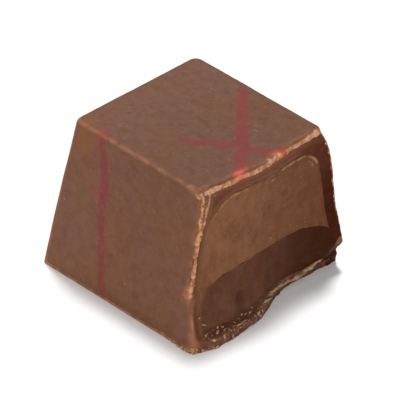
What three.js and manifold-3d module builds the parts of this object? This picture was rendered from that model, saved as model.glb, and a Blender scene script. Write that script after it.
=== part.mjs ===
// Half of a moulded gianduja praline, in millimetres. X runs along the bar from its moulded end to the cut,
// Y across it, Z up from the flat face that it rests on. A thin milk chocolate shell was cast in a tapered
// mould, filled with pale gianduja and then a darker nut cream, and closed with a chocolate base. The bar was
// then cut across, so all four layers show at one end.
import * as THREE from "three";
import { mergeVertices } from "three/addons/utils/BufferGeometryUtils.js";
import Module from "manifold-3d";

const wasm = await Module();
wasm.setup();

// ---- Driving dimensions of the whole bar, as it leaves the mould
const baseLength = 36.6;
const baseWidth = 18.4;
const height = 14.4;
const sideTaper = 2.05; // how far each long side leans in from the base to the top
const endTaper = 1.45; // the same at each end
const topEdgeRadius = 0.4;
const cornerRadiusAtBase = 0.3; // of the four upright edges
const cornerRadiusAtTop = 0.7;

// ---- The hollow that the shell leaves for the fillings
const frontWall = 1.35;
const farWall = 1.22;
const endWall = 1.35;
const roof = 1.8;
const frontRoofFillet = 3.3; // how widely the hollow rounds over where a wall meets the roof
const farRoofFillet = 1.4;
const endRoofFillet = 2;
const hollowCornerRadius = 1.2;

// ---- The levels between the layers
const baseThickness = 1.15;
const baseWaviness = 0.06;
const creamLevel = 5.05; // top of the darker cream, on the middle line
const creamTilt = 0.045; // how much it rises for each millimetre towards the far side
const creamDropAtFront = 0.62; // how far it sinks where it meets each wall
const creamDropAtFar = 0.75;
const creamDropReach = 0.9;
const creamDropInWall = 0.5; // the drop still deepens this far past the wall's face
const layerGap = 0.08; // clear space between neighbouring solids

// ---- The cut: the knife came straight down, and the brittle foot of the bar broke ahead of it
const cutLength = 16.5; // from the moulded end's foot to the cut, at the front wall
const bulge = 0.25; // how far the middle of the upper edge bows out and its ends bow in
const scoop = 0.1; // how deep the middle of the face is hollowed
const nick = 0.35; // missing from the upper front corner

// The front half of the foot flares out and ends in a ledge.
const footReach = 1.45;
const footHeight = 4.8;
const footFadesFrom = 5.5; // across the width
const footFadesTo = 13.2;
const ledgeReach = 0.55;
const cornerBreak = 0.25; // missing from the foot's front corner

// The far wall stands out past the filling, leans out towards its foot, and has broken off short there.
const farLean = 0.65;
const farFootLean = 0.65;
const farFootHeight = 7;
const farBreak = 1.25;
const farBreakHeight = 2.8;
const chip = 0.3;
const chipHeight = 1.7;

// Surface relief
const fluteDepth = 0.12; // upright flutes that the knife left in the soft cream
const flutePitch = 2.2;
const roughness = 0.05;
const rimProud = 0.2; // the ragged rim that the knife dragged up round the shell's edge
const rimInset = 0.25; // from the outer skin to the middle of that rim
const rimReach = 0.28; // half its width

// ---- How finely things are faceted, and how far the cutting solids reach past the bar
const cornerSteps = 5;
const cutColumns = 50;
const cutRows = 46;
const levelColumns = 14;
const levelRows = 16;
const margin = 0.8;

const clamp01 = (t) => Math.min(1, Math.max(0, t));
const smooth = (from, to, value) => {
  const t = clamp01((value - from) / (to - from));
  return t * t * (3 - 2 * t);
};
const hump = (value, middle, reach) => Math.exp(-(((value - middle) / reach) ** 2));
const halfWidth = baseWidth / 2;

// The outer skin of each long side stands this far from the middle line.
const sideAt = (z) => halfWidth - (sideTaper * z) / height;

// ---------------------------------------------------------------- turning meshes into solids and back

function geometryOf(points, triangles) {
  const geometry = new THREE.BufferGeometry();
  geometry.setAttribute("position", new THREE.Float32BufferAttribute(points.flat(), 3));
  geometry.setIndex(triangles.flat());
  return geometry;
}

function solidOf(geometry) {
  const merged = mergeVertices(geometry, 1e-4);
  return new wasm.Manifold(
    new wasm.Mesh({
      numProp: 3,
      vertProperties: new Float32Array(merged.attributes.position.array),
      triVerts: new Uint32Array(merged.index.array),
    }),
  );
}

// The largest body of a solid, without any sliver that a cut left beside it.
function wholeOf(solid) {
  return solid.decompose().reduce((a, b) => (b.volume() > a.volume() ? b : a));
}

function geometryFrom(solid) {
  const mesh = wholeOf(solid).getMesh();
  const geometry = new THREE.BufferGeometry();
  geometry.setAttribute("position", new THREE.BufferAttribute(mesh.vertProperties, 3));
  geometry.setIndex(new THREE.BufferAttribute(mesh.triVerts, 1));
  geometry.computeVertexNormals();
  return geometry;
}

// A closed solid through level rings of equal point counts, listed from the bottom up, each anticlockwise.
function loft(rings) {
  const count = rings[0].length;
  const points = rings.flat();
  const triangles = [];
  for (let level = 0; level + 1 < rings.length; level++) {
    for (let i = 0; i < count; i++) {
      const next = (i + 1) % count;
      const a = level * count + i;
      const b = level * count + next;
      triangles.push([a, b, b + count], [a, b + count, a + count]);
    }
  }
  const last = (rings.length - 1) * count;
  for (let i = 1; i + 1 < count; i++) {
    triangles.push([0, i + 1, i], [last, last + i, last + i + 1]);
  }
  return solidOf(geometryOf(points, triangles));
}

// A closed block between two sheets of columns by rows cells. Seen from outside the near sheet, u runs to the
// right and v up.
function blockBetween(columns, rows, near, far) {
  const points = [];
  const triangles = [];
  const size = (columns + 1) * (rows + 1);
  const index = (sheet, u, v) => sheet * size + v * (columns + 1) + u;
  for (const sheet of [near, far]) {
    for (let v = 0; v <= rows; v++) {
      for (let u = 0; u <= columns; u++) points.push(sheet(u / columns, v / rows));
    }
  }
  const quad = (a, b, c, d) => triangles.push([a, b, c], [a, c, d]);
  for (let v = 0; v < rows; v++) {
    for (let u = 0; u < columns; u++) {
      quad(index(0, u, v), index(0, u + 1, v), index(0, u + 1, v + 1), index(0, u, v + 1));
      quad(index(1, u, v), index(1, u, v + 1), index(1, u + 1, v + 1), index(1, u + 1, v));
    }
  }
  for (let u = 0; u < columns; u++) {
    quad(index(0, u + 1, 0), index(0, u, 0), index(1, u, 0), index(1, u + 1, 0));
    quad(index(0, u, rows), index(0, u + 1, rows), index(1, u + 1, rows), index(1, u, rows));
  }
  for (let v = 0; v < rows; v++) {
    quad(index(0, 0, v), index(0, 0, v + 1), index(1, 0, v + 1), index(1, 0, v));
    quad(index(0, columns, v + 1), index(0, columns, v), index(1, columns, v), index(1, columns, v + 1));
  }
  return solidOf(geometryOf(points, triangles));
}

// ---------------------------------------------------------------- the moulded bar and its hollow

// An anticlockwise rectangle with rounded corners, level at z.
function roundedRing(x0, x1, y0, y1, radius, z) {
  const corners = [
    [x0 + radius, y0 + radius, Math.PI],
    [x1 - radius, y0 + radius, Math.PI * 1.5],
    [x1 - radius, y1 - radius, 0],
    [x0 + radius, y1 - radius, Math.PI * 0.5],
  ];
  const ring = [];
  for (const [x, y, from] of corners) {
    for (let step = 0; step <= cornerSteps; step++) {
      const angle = from + (step / cornerSteps) * (Math.PI / 2);
      ring.push([x + radius * Math.cos(angle), y + radius * Math.sin(angle), z]);
    }
  }
  return ring;
}

// How far a wall has moved in at height z, where it rounds over into a roof.
const roundOver = (z, top, radius) => {
  const climb = clamp01((z - (top - radius)) / radius);
  return radius * (1 - Math.sqrt(1 - climb * climb));
};

// Heights that follow a round-over closely and the straight wall below it sparsely.
function levelsUpTo(top, radius, from, straightSteps, roundSteps) {
  const spring = top - radius; // where the round-over starts
  const levels = [];
  for (let i = 0; i < straightSteps; i++) levels.push(from + ((spring - from) * i) / straightSteps);
  for (let i = 0; i <= roundSteps; i++) {
    levels.push(spring + radius * Math.sin((i / roundSteps) * (Math.PI / 2)));
  }
  return levels;
}

function mouldedBar() {
  const rings = levelsUpTo(height, topEdgeRadius, 0, 6, 4).map((z) => {
    const up = z / height;
    const inset = roundOver(z, height, topEdgeRadius);
    const radius = THREE.MathUtils.lerp(cornerRadiusAtBase, cornerRadiusAtTop, smooth(0.4, 1, up));
    const x0 = endTaper * up + inset;
    const y0 = -halfWidth + sideTaper * up + inset;
    return roundedRing(x0, baseLength - x0, y0, -y0, radius, z);
  });
  return loft(rings);
}

// The hollow of the shell, made smaller all round by a clearance, and open below the base.
function hollow(clearance) {
  const top = height - roof - clearance;
  const rings = levelsUpTo(top, frontRoofFillet, -margin, 3, 7).map((z) => {
    const up = z / height;
    const x0 = endTaper * up + endWall + clearance + roundOver(z, top, endRoofFillet);
    const x1 = baseLength - endTaper * up - endWall;
    const side = sideAt(z) - clearance;
    const y0 = -side + frontWall + roundOver(z, top, frontRoofFillet);
    const y1 = side - farWall - roundOver(z, top, farRoofFillet);
    return roundedRing(x0, x1, y0, y1, hollowCornerRadius, z);
  });
  return loft(rings);
}

// ---------------------------------------------------------------- the levels between the fillings

// The cream set a little higher towards the far side, and sinks where it meets the walls.
function creamTop(x, y) {
  const side = sideAt(creamLevel);
  const fade = (distance) => Math.exp(-Math.max(-creamDropInWall, distance) / creamDropReach);
  const atFront = creamDropAtFront * fade(y + side - frontWall);
  const atFar = creamDropAtFar * fade(side - farWall - y);
  const atEnd = creamDropAtFar * fade(x - endWall - (endTaper * creamLevel) / height);
  return creamLevel + creamTilt * y - atFront - atFar - atEnd;
}

const baseTop = (x, y) => baseThickness + baseWaviness * (Math.sin(0.7 * y) + Math.sin(0.6 * x + 1));

// Everything under a level, moved up or down by a shift.
function under(level, shift) {
  const at = (u, v) => [
    THREE.MathUtils.lerp(-margin, cutLength + footReach + ledgeReach + margin, u),
    THREE.MathUtils.lerp(-halfWidth - margin, halfWidth + margin, v),
  ];
  const top = (u, v) => {
    const [x, y] = at(u, v);
    return [x, y, level(x, y) + shift];
  };
  const bottom = (u, v) => [...at(u, v), -2 * margin];
  return blockBetween(levelColumns, levelRows, top, bottom);
}

// ---------------------------------------------------------------- the cut

// The front half of the foot: a flare, and under it the ledge of the base.
function footAt(across, z) {
  const front = 1 - smooth(footFadesFrom, footFadesTo, across);
  const flare = footReach * clamp01(1 - z / footHeight) ** 0.8 * front;
  const underCream = 1 - smooth(baseThickness - 0.35, baseThickness + 0.2, z);
  const ledge = (0.2 + ledgeReach * front * smooth(0.3, 2.4, across)) * underCream;
  const corner = cornerBreak * (1 - smooth(0.1, 1.1, across)) * (1 - smooth(0.2, 2.2, z));
  return flare + ledge - corner;
}

// The far wall: it stands out under its upper corner, leans out towards the foot and is broken short there.
function farWallAt(across, z) {
  const lean = 0.05 + farLean * (1 - smooth(height - 2.6, height, z));
  const footLean = farFootLean * clamp01((farFootHeight - z) / (farFootHeight - farBreakHeight)) ** 1.2;
  const broken = farBreak * (1 - smooth(0, farBreakHeight, z));
  const chipped = chip * hump(z, chipHeight, 0.75) * smooth(16.4, 17.4, across);
  return (lean + footLean - broken) * smooth(12.5, 17.3, across) - chipped;
}

// The rim round the shell's edge: ragged along the front and the top, fainter at the far side.
function rimAt(y, z) {
  const raggedFront = smooth(2.5, 5, z) * (0.75 + 0.25 * Math.sin(4.3 * z));
  const front = hump(y + sideAt(z), rimInset, rimReach) * raggedFront;
  const top = hump(height - z, rimInset, rimReach) * (0.75 + 0.25 * Math.sin(3.1 * y + 1));
  const far = hump(sideAt(z) - y, rimInset, rimReach) * smooth(3, 6, z) * 0.5;
  return rimProud * Math.max(front, top, far);
}

// Knife marks and the grain of the broken surface.
function reliefAt(across, z) {
  const flutes = fluteDepth * Math.cos(((across - 4.9) * 2 * Math.PI) / flutePitch);
  const grain = roughness * Math.sin(7.1 * across + 3 * z) * Math.sin(5.3 * z - 2 * across);
  return flutes * hump(across, 6, 4) * hump(z, 3, 2.2) + grain;
}

// How far from the moulded end the cut lies, at a point y from the middle line and z up the face.
function cutAt(y, z) {
  const across = y + halfWidth; // from the front side's foot
  const bowed = bulge * Math.cos(0.56 * y) * smooth(7, height, z);
  const scooped = scoop * hump(across, 8.8, 5) * hump(z, 8, 4);
  const nicked = nick * hump(across, 2.4, 1.1) * smooth(height - 1, height, z);
  const edges = footAt(across, z) + farWallAt(across, z) + rimAt(y, z);
  return cutLength + bowed - scooped - nicked + edges + reliefAt(across, z);
}

// The part of the bar that was cut away. Its columns follow the leaning sides, and both columns and rows are
// closest near the edges, where the rim is.
function cutAway() {
  const swing = (t) => 0.5 - 0.5 * Math.cos(Math.PI * t);
  const at = (u, v) => {
    const z = THREE.MathUtils.lerp(-margin, height + margin, swing(v));
    const reach = sideAt(z) + margin;
    return [THREE.MathUtils.lerp(reach, -reach, swing(u)), z];
  };
  const face = (u, v) => {
    const [y, z] = at(u, v);
    return [cutAt(y, z), y, z];
  };
  const beyond = (u, v) => [baseLength + margin, ...at(u, v)];
  return blockBetween(cutColumns, cutRows, face, beyond);
}

// ---------------------------------------------------------------- the four layers

const removed = cutAway();
const fillings = hollow(layerGap).subtract(removed);
const halfGap = layerGap / 2;
const floor = under(() => 0, 0);

const layers = {
  shell: {
    solid: mouldedBar().subtract(removed).subtract(hollow(0)),
    colour: 0x7a5340,
    roughness: 0.42,
  },
  gianduja: {
    solid: fillings.subtract(under(creamTop, halfGap)),
    colour: 0x8a6040,
    roughness: 0.6,
  },
  dark_cream: {
    solid: fillings.intersect(under(creamTop, -halfGap)).subtract(under(baseTop, halfGap)),
    colour: 0x4a2c20,
    roughness: 0.55,
  },
  base: {
    solid: fillings.intersect(under(baseTop, -halfGap)).subtract(floor),
    colour: 0x5c3a2a,
    roughness: 0.5,
  },
};

const praline = new THREE.Group();
for (const [name, { solid, colour, roughness }] of Object.entries(layers)) {
  const material = new THREE.MeshStandardMaterial({ color: colour, roughness, metalness: 0 });
  const mesh = new THREE.Mesh(geometryFrom(solid), material);
  mesh.name = name;
  praline.add(mesh);
}

// The origin is under the middle of the piece, on the surface that it rests on.
const reach = new THREE.Box3().setFromObject(praline);
praline.position.x = -(reach.min.x + reach.max.x) / 2;
praline.position.y = -(reach.min.y + reach.max.y) / 2;

export default praline;
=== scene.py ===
# A half of a moulded gianduja praline: its milk chocolate shell with red cocoa butter lines, and the
# gianduja, the darker nut cream and the closing base that its cut shows. Sizes are in millimetres until a
# mesh is made. X runs from the moulded end to the cut, Y from the front side to the far one, and Z up.
import math

import bmesh
import bpy
import numpy as np
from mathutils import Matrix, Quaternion, Vector


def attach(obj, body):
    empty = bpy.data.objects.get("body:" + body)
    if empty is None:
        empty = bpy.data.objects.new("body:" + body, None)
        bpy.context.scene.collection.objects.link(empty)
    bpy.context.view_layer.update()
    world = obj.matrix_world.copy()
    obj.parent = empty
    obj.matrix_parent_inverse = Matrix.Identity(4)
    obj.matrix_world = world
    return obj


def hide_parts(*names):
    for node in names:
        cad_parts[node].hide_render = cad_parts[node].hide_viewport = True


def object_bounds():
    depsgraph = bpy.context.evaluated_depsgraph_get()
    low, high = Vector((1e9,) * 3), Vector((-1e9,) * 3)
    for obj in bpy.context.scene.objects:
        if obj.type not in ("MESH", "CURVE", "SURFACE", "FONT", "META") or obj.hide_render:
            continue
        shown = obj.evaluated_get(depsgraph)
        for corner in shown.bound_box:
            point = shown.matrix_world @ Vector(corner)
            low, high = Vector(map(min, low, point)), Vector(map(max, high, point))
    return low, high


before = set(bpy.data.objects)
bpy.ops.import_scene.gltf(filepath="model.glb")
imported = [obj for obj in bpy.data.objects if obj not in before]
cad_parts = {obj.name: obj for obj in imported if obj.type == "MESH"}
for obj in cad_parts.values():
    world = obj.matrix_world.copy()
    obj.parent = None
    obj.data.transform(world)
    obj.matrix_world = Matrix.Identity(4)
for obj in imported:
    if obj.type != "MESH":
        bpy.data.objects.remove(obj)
cad_low, cad_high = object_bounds()
MM = 0.001

# ---------------------------------------------------------------- the camera
# A long lens, as for a product picture, looking down on the cut and on one long side.
camera_data = bpy.data.cameras.new("camera")
camera_data.lens = 450
camera_data.clip_start = 0.01
camera = bpy.data.objects.new("camera", camera_data)
bpy.context.scene.collection.objects.link(camera)
bpy.context.scene.camera = camera
camera.location = Vector((239.0, -246.5, 246.3)) * MM
aim = Vector((0, 0, 6.8)) * MM - camera.location
picture_lean = math.radians(1.76)
camera.rotation_mode = "QUATERNION"
camera.rotation_quaternion = aim.to_track_quat("-Z", "Y") @ Quaternion((0, 0, 1), picture_lean)

# ---------------------------------------------------------------- the moulded shell
# Milk chocolate cast 1.2 to 1.8 mm thick in a tapered mould, so that its outside is smooth and its edges are
# crisp, with red cocoa butter flicked into the mould first. A knife cut it across and dragged its edge up.
foot_x = cad_low.x / MM  # the foot of the moulded end
half_width = cad_high.y / MM
height = cad_high.z / MM
side_taper = 2.05
end_taper = 1.45
top_edge_radius = 0.4
corner_radius_at_base = 0.3
corner_radius_at_top = 0.7
front_wall = 1.35
far_wall = 1.22
end_wall = 1.35
roof = 1.8
front_roof_fillet = 3.3
far_roof_fillet = 1.4
end_roof_fillet = 2.0
hollow_corner_radius = 1.2
blank_length = 24  # the bar is made this long, and the knife takes the rest

# The knife came straight down, and the brittle foot of the bar broke ahead of it.
cut_length = 16.5  # from the moulded end's foot to the cut
bulge = 0.25  # how far the middle of the upper edge bows out and its ends bow in
scoop = 0.1  # how deep the middle of the face is hollowed
nick = 0.35  # missing from the upper front corner
foot_reach = 1.45  # how far the front half of the foot flares out
foot_height = 4.8
ledge_reach = 0.55
corner_break = 0.25  # missing from the foot's front corner
far_lean = 0.65  # how far the far wall stands out past the filling
far_foot_lean = 0.65  # and how much further towards its foot
far_foot_height = 7
far_break = 1.25  # how far it has broken off short at its foot
far_break_height = 2.8
chip = 0.3
chip_height = 1.7


def smooth(start, end, value):
    """Rises from 0 at start to 1 at end, whichever of the two is larger."""
    t = np.clip((value - start) / (end - start), 0, 1)
    return t * t * (3 - 2 * t)


def hump(value, middle, reach):
    return np.exp(-(((value - middle) / reach) ** 2))


def lattice_noise(points, size, seed):
    """Smooth noise from -1 to 1 whose grains are size across."""
    place = points / size
    cell = np.floor(place).astype(np.int64)
    t = place - cell
    t = t * t * t * (t * (t * 6 - 15) + 10)
    total = np.zeros(len(points))
    for corner in np.ndindex(2, 2, 2):
        at = cell + corner
        mixed = at[:, 0] * 73856093 ^ at[:, 1] * 19349663 ^ at[:, 2] * 83492791 ^ seed * 2654435761
        mixed = (mixed ^ (mixed >> 13)) * 1274126177 & 0x7FFFFFFF
        value = ((mixed ^ (mixed >> 16)) & 0xFFFF) / 32767.5 - 1
        total += value * np.prod(np.where(corner, t, 1 - t), axis=1)
    return total


def rough(points, size, octaves, seed):
    """Lattice noise of several sizes, each half as large and half as strong as the last."""
    layers = [lattice_noise(points, size / 2**i, seed + i) / 2**i for i in range(octaves)]
    return sum(layers) / sum(0.5**i for i in range(octaves))


def side_at(z):
    return half_width - side_taper * z / height


def end_at(z):
    return foot_x + end_taper * z / height


def round_over(z, top, radius):
    climb = np.clip((z - (top - radius)) / radius, 0, 1)
    return radius * (1 - math.sqrt(1 - climb * climb))


def foot_of_cut(across, z):
    """The front half of the foot flares out, and the base makes a ledge under it."""
    front = 1 - smooth(5.5, 13.2, across)
    flare = foot_reach * np.clip(1 - z / foot_height, 0, 1) ** 0.8 * front
    under_cream = 1 - smooth(0.8, 1.35, z)
    ledge = (0.2 + ledge_reach * front * smooth(0.3, 2.4, across)) * under_cream
    corner = corner_break * (1 - smooth(0.1, 1.1, across)) * (1 - smooth(0.2, 2.2, z))
    return flare + ledge - corner


def far_wall_of_cut(across, z):
    """The far wall stands out past the filling and has broken off short at its foot."""
    lean = 0.05 + far_lean * (1 - smooth(height - 2.6, height, z))
    down_wall = np.clip((far_foot_height - z) / (far_foot_height - far_break_height), 0, 1)
    foot_lean = far_foot_lean * down_wall**1.2
    broken = far_break * (1 - smooth(0, far_break_height, z))
    chipped = chip * hump(z, chip_height, 0.75) * smooth(16.4, 17.4, across)
    return (lean + foot_lean - broken) * smooth(12.5, 17.3, across) - chipped


def cut_at(y, z):
    """Where the knife passed, as x, before any fine relief."""
    across = y + half_width
    bowed = bulge * np.cos(0.56 * y) * smooth(7, height, z)
    scooped = scoop * hump(across, 8.8, 5) * hump(z, 8, 4)
    nicked = nick * hump(across, 2.4, 1.1) * smooth(height - 1, height, z)
    edge = foot_x + cut_length + bowed - scooped - nicked
    return edge + foot_of_cut(across, z) + far_wall_of_cut(across, z)


def solid(name, points, faces):
    mesh = bpy.data.meshes.new(name)
    mesh.from_pydata((np.asarray(points) * MM).tolist(), [], faces)
    made = bpy.data.objects.new(name, mesh)
    bpy.context.scene.collection.objects.link(made)
    return made


def rounded_ring(x0, x1, y0, y1, radius, z, long_steps, end_steps, corner_steps):
    """An anticlockwise rectangle with round corners, level at z."""
    corners = [(x0, y0, 1, 1), (x1, y0, -1, 1), (x1, y1, -1, -1), (x0, y1, 1, -1)]
    arcs = []
    for turn, (x, y, inward_x, inward_y) in enumerate(corners):
        angle = math.pi + turn * math.pi / 2 + np.linspace(0, math.pi / 2, corner_steps + 1)
        middle = np.array([x + inward_x * radius, y + inward_y * radius])
        arcs.append(middle + radius * np.column_stack([np.cos(angle), np.sin(angle)]))
    ring = []
    for turn, steps in enumerate((long_steps, end_steps, long_steps, end_steps)):
        here, there = arcs[turn], arcs[(turn + 1) % 4]
        along = np.linspace(0, 1, steps + 1)[1:-1, None]
        ring += [here, here[-1] * (1 - along) + there[0] * along]
    ring = np.concatenate(ring)
    return np.column_stack([ring, np.full(len(ring), z)])


def loft(name, rings, zip_from=None):
    """A closed solid through rings of equal point counts, listed from the bottom up. A last ring that is
    nearly a line is closed by joining its two sides point to point, from the point at its left end."""
    count = len(rings[0])
    here = np.arange(count)
    there = (here + 1) % count
    faces = [here[::-1].tolist()]
    for level in range(len(rings) - 1):
        low = level * count
        band = np.column_stack([low + here, low + there, low + count + there, low + count + here])
        faces += band.tolist()
    last = (len(rings) - 1) * count
    if zip_from is None:
        faces.append((last + here).tolist())
    else:
        right = (zip_from + np.arange(count // 2 + 1)) % count
        left = (zip_from - np.arange(count // 2 + 1)) % count
        strips = last + np.column_stack([right[:-1], right[1:], left[1:], left[:-1]])
        faces += [list(dict.fromkeys(strip)) for strip in strips.tolist()]
    return solid(name, np.concatenate(rings), faces)


def sheet_block(name, near, far):
    """A closed block between two grids of points. Seen from outside the near one, its rows run up."""
    rows, columns = near.shape[:2]
    size = columns * rows
    index = np.arange(size).reshape(rows, columns)
    front = np.stack([index[:-1, :-1], index[:-1, 1:], index[1:, 1:], index[1:, :-1]], -1).reshape(-1, 4)
    rim = np.concatenate([index[0, :], index[1:, -1], index[-1, -2::-1], index[-2:0:-1, 0]])
    following = np.roll(rim, -1)
    edges = np.column_stack([following, rim, rim + size, following + size])
    faces = np.concatenate([front, front[:, ::-1] + size, edges]).tolist()
    return solid(name, np.concatenate([near.reshape(-1, 3), far.reshape(-1, 3)]), faces)


def places_of(piece):
    flat = np.empty(len(piece.data.vertices) * 3)
    piece.data.vertices.foreach_get("co", flat)
    return flat.reshape(-1, 3) / MM


def weather(piece, depth, size, seed):
    """Moves a cast surface in and out a little, as no mould is quite flat, but not where it rests."""
    at = places_of(piece)
    normals = np.empty(len(at) * 3)
    piece.data.vertices.foreach_get("normal", normals)
    swell = depth * rough(at, size, 3, seed) * smooth(0, 0.5, at[:, 2])
    moved = at + normals.reshape(-1, 3) * swell[:, None]
    piece.data.vertices.foreach_set("co", (moved * MM).ravel())


def carve(piece, tool, operation="DIFFERENCE"):
    """Cuts a piece with a tool, or keeps what the two share, and discards the tool."""
    knife = piece.modifiers.new("knife", "BOOLEAN")
    knife.object = tool
    knife.operation = operation
    knife.solver = "MANIFOLD"
    evaluated = piece.evaluated_get(bpy.context.evaluated_depsgraph_get())
    carved = bpy.data.meshes.new_from_object(evaluated)
    carved.materials.clear()
    piece.modifiers.clear()
    piece.data = carved
    bpy.data.objects.remove(tool)


def cut_away(name, relief, columns, rows, margin=0.8):
    """The part that the knife took off. The relief is what it left on the face, as a function of y and z."""
    z = -margin + (height + 2 * margin) * (0.5 - 0.5 * np.cos(np.pi * np.linspace(0, 1, rows + 1)))
    z = z[:, None] * np.ones(columns + 1)
    y = (side_at(z) + margin) * np.cos(np.pi * np.linspace(0, 1, columns + 1))
    x = cut_at(y, z) + relief(y.ravel(), z.ravel()).reshape(y.shape)
    far = np.full_like(x, foot_x + blank_length + 2)
    return sheet_block(name, np.stack([x, y, z], -1), np.stack([far, y, z], -1))


def on_face(y, z):
    return np.column_stack([np.zeros_like(y), y, z])


def second_strand(z):
    """The rim's inner strand leaves the outer one at this distance from the front skin, high on the edge."""
    return 0.45 + 0.75 * np.clip((z - 10.3) / 2.4, 0, 1) ** 0.8


def strand(distance, along, middle, radius, rise, seed):
    """How high a torn strand stands: round in section, wandering and beaded along its length."""
    at = on_face(along, 0 * along)
    wandering = middle + 0.08 * rough(at, 0.9, 3, seed)
    swelling = radius * (1 + 0.3 * rough(at, 0.5, 2, seed + 1))
    beads = 1 + 0.4 * rough(on_face(along, distance), 0.45, 2, seed + 2)
    return rise * beads * np.sqrt(np.clip(1 - ((distance - wandering) / swelling) ** 2, 0, 1))


def rim_web(y, z):
    """The low web of torn shell between the front edge's two strands."""
    from_front = y + side_at(z)
    inner = second_strand(z)
    web = 0.12 * smooth(0, 0.2, from_front) * smooth(inner + 0.1, inner - 0.1, from_front)
    return web * smooth(10.4, 11.2, z) * smooth(0, 0.3, height - z)


def front_knot(z):
    """The front strand is thickest where the two part, and where it ends above the flared foot."""
    return hump(z, 10.3, 0.42) + 0.4 * hump(z, 5.05, 0.3)


def front_rim(from_front, z):
    """Two strands stand on the front edge, which part high up."""
    low_down = smooth(10.4, 9.4, z)
    thick = 0.25 + 0.03 * low_down + 0.08 * front_knot(z)
    rise = 0.22 + 0.12 * front_knot(z)
    outer = strand(from_front, z, 0.42 - 0.08 * low_down, thick, rise, 11) * smooth(4.4, 4.8, z)
    inner = strand(from_front, z, second_strand(z), 0.22, 0.2, 15) * smooth(10.2, 10.9, z)
    return np.maximum(outer, inner) * (0.25 + 0.75 * smooth(0.1, 0.7, height - z))


def top_rim(from_top, y):
    """One strand runs along the top edge, with swellings where more chocolate was dragged up."""
    swollen = sum(hump(y, middle, 0.35) for middle in (-5.6, 0.4, 1.5, 5.3, 6.9))
    below_top = 0.48 - 0.26 * hump(y, 1.6, 1.6) - 0.12 * smooth(4, 6, y)
    return strand(from_top, y, below_top, 0.26 + 0.06 * swollen, 0.2 + 0.1 * swollen, 19)


def rim_ridge(y, z):
    """How high the knife dragged up the shell's edge: at the front, along the top and, faintly, behind."""
    upright = front_rim(y + side_at(z), z)
    far = strand(side_at(z) - y, z, 0.1, 0.12, 0.09, 23) * smooth(3, 6, z)
    ridges = np.maximum(upright, np.maximum(top_rim(height - z, y), far))
    return np.maximum(ridges, rim_web(y, z))


def worn_off(y, z):
    """How much the cut's outline is rounded: a little, but more at the front foot and the far top corner."""
    inward = np.minimum(np.minimum(y + side_at(z), side_at(z) - y), height - z)
    at_foot = smooth(-7, -8, y)
    radius = 0.1 + (0.2 * smooth(4.8, 3, z) + 0.55 * smooth(1.8, 0.5, z)) * at_foot
    reach = np.clip(1 - inward / radius, 0, 1)
    far_corner = np.clip(1 - (side_at(z) - y + height - z) / 1.5, 0, 1)
    drawn_out = 0.3 * smooth(2.4, 0.4, z) * smooth(-7.9, -8.9, y)
    return radius * (1 - np.sqrt(1 - reach**2)) + 0.9 * far_corner**1.5 - drawn_out


def smear_limit(y):
    """Down to here, towards the front wall, the knife smeared the upper filling over the lower one."""
    return 4.95 - 2.2 * np.exp(-(y + 7.7) / 0.9)


def shell_relief(y, z):
    """The dragged rim, and the grain of chocolate that broke rather than cut."""
    at = on_face(y, z)
    torn = 0.05 * rough(at, 0.8, 3, 23) + 0.02 * rough(at, 0.22, 1, 27)
    return rim_ridge(y, z) - worn_off(y, z) - 0.04 + torn


def moulded_blank(long_steps=110, end_steps=90, corner_steps=6, side_levels=72, roof_rings=40):
    """The bar as it left the mould, smooth and solid, and longer than the piece that is kept."""
    round_levels = height - top_edge_radius * (1 - np.sin(np.linspace(0, math.pi / 2, 8)[1:]))
    levels = np.concatenate([np.linspace(0, height - top_edge_radius, side_levels), round_levels])
    right_x = foot_x + blank_length
    steps = long_steps, end_steps, corner_steps
    rings = []
    for z in levels:
        inset = round_over(z, height, top_edge_radius)
        widened = (corner_radius_at_top - corner_radius_at_base) * float(smooth(0.4, 1, z / height))
        radius = corner_radius_at_base + widened
        x0, y0 = end_at(z) + inset, inset - side_at(z)
        rings.append(rounded_ring(x0, right_x, y0, -y0, radius, z, *steps))
    for share in np.linspace(1, 0.02, roof_rings)[1:]:
        shrink = (1 - share) * -y0
        shrunk = x0 + shrink, right_x - shrink, y0 + shrink, -y0 - shrink
        rings.append(rounded_ring(*shrunk, radius * share, height, *steps))
    return loft("shell_moulded", rings, zip_from=len(rings[0]) - end_steps // 2)


def hollow(name, clearance):
    """The space that the shell leaves for its fillings, open below the base."""
    top = height - roof - clearance
    spring = top - front_roof_fillet
    rise = front_roof_fillet * np.sin(np.linspace(0, math.pi / 2, 24))
    x1 = foot_x + blank_length - 1
    rings = []
    for z in np.concatenate([np.linspace(-0.8, spring, 30)[:-1], spring + rise]):
        x0 = end_at(z) + end_wall + clearance + round_over(z, top, end_roof_fillet)
        side = side_at(z) - clearance
        y0 = front_wall - side + round_over(z, top, front_roof_fillet)
        y1 = side - far_wall - round_over(z, top, far_roof_fillet)
        rings.append(rounded_ring(x0, x1, y0, y1, hollow_corner_radius, z, 24, 20, 8))
    return loft(name, rings)


def from_wall(y, z):
    """How far inside the hollow's outline a point of the cut lies."""
    top = height - roof
    from_front, from_far = y + side_at(z) - front_wall, side_at(z) - far_wall - y
    nearest = np.minimum(np.minimum(from_front, from_far), top - z)
    for from_side, radius in ((from_front, front_roof_fillet), (from_far, far_roof_fillet)):
        p, q = radius - from_side, radius - (top - z)
        nearest = np.where((p > 0) & (q > 0), np.minimum(nearest, radius - np.hypot(p, q)), nearest)
    return nearest


shell = moulded_blank()
weather(shell, 0.035, 3.5, 5)
carve(shell, cut_away("knife_shell", shell_relief, 300, 260))
carve(shell, hollow("hollow", 0))

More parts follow.
